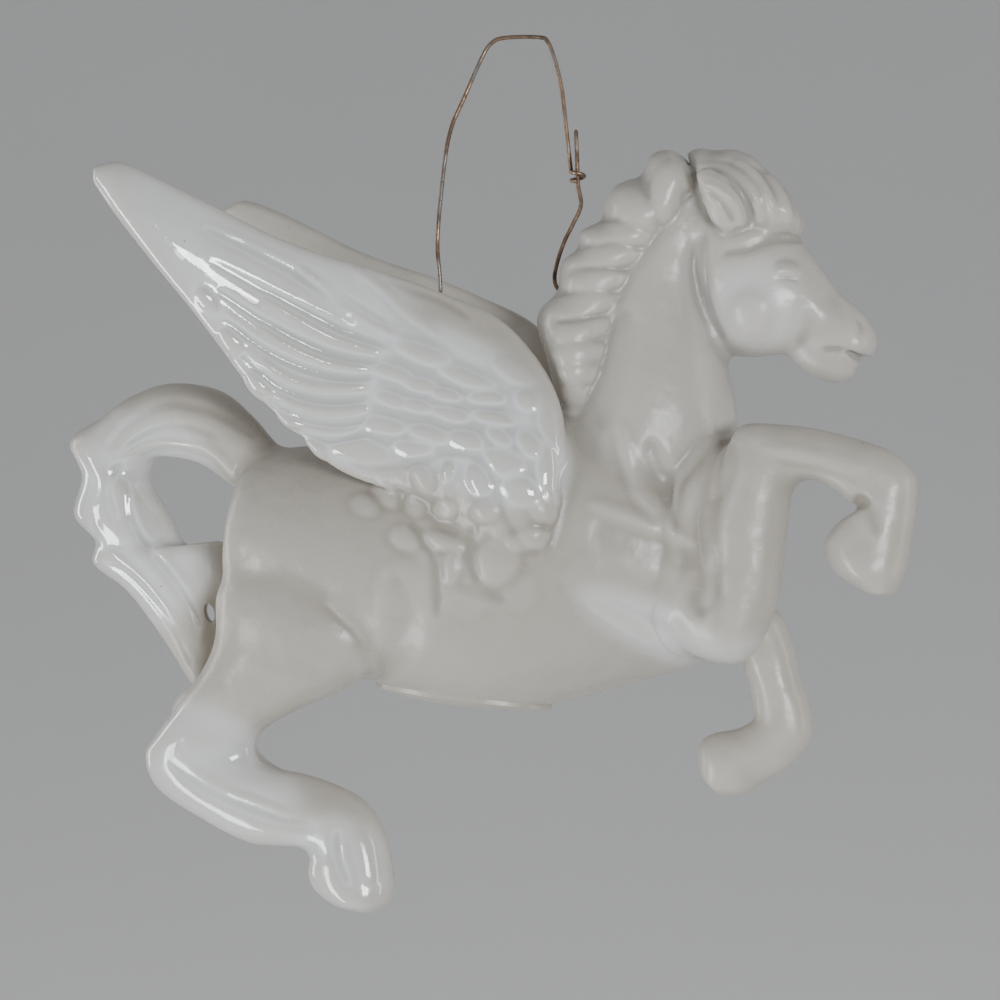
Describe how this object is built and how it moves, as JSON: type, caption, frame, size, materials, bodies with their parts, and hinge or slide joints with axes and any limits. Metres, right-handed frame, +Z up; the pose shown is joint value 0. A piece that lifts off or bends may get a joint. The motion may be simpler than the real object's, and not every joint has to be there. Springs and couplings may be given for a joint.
{
  "type": "winged horse figurine",
  "caption": "Hanging winged horse ornament of white glazed ceramic, hollow bodied, swinging on a loop of thin wire threaded through its back and crest.",
  "frame": {"origin": "underside of the top of the wire loop, where a hook carries the ornament", "axes": "+X towards the nose, +Z up, +Y across the horse towards its left side"},
  "size_m": [0.2062, 0.1028, 0.205],
  "materials": {
    "body_glaze": "glossy white glaze over pale clay",
    "head_glaze": "glossy white glaze",
    "hair_glaze": "glossy white glaze, softened locks",
    "wing_glaze": "glossy white glaze with a cool cast",
    "leg_glaze": "glossy white glaze",
    "wire_metal": "tarnished copper brown wire, worn grey in places"
  },
  "bodies": {
    "hanger": {"hanger_wire": "wire_metal"},
    "figure": {"trunk_shell": "body_glaze", "neck_and_head": "head_glaze", "mane": "hair_glaze", "forelock": "hair_glaze", "ear_right": "head_glaze", "ear_left": "head_glaze", "wing_right": "wing_glaze", "wing_left": "wing_glaze", "foreleg_right": "leg_glaze", "foreleg_left": "leg_glaze", "hindleg_right": "leg_glaze", "hindleg_left": "leg_glaze", "tail": "hair_glaze"}
  },
  "joints": [
    {"name": "hanger_swing", "type": "hinge", "parent": "hanger", "child": "figure", "pos_m": [-0.018, 0, -0.09541], "axis": [0.6283, 0, 0.778], "range_deg": [-20, 20]}
  ]
}
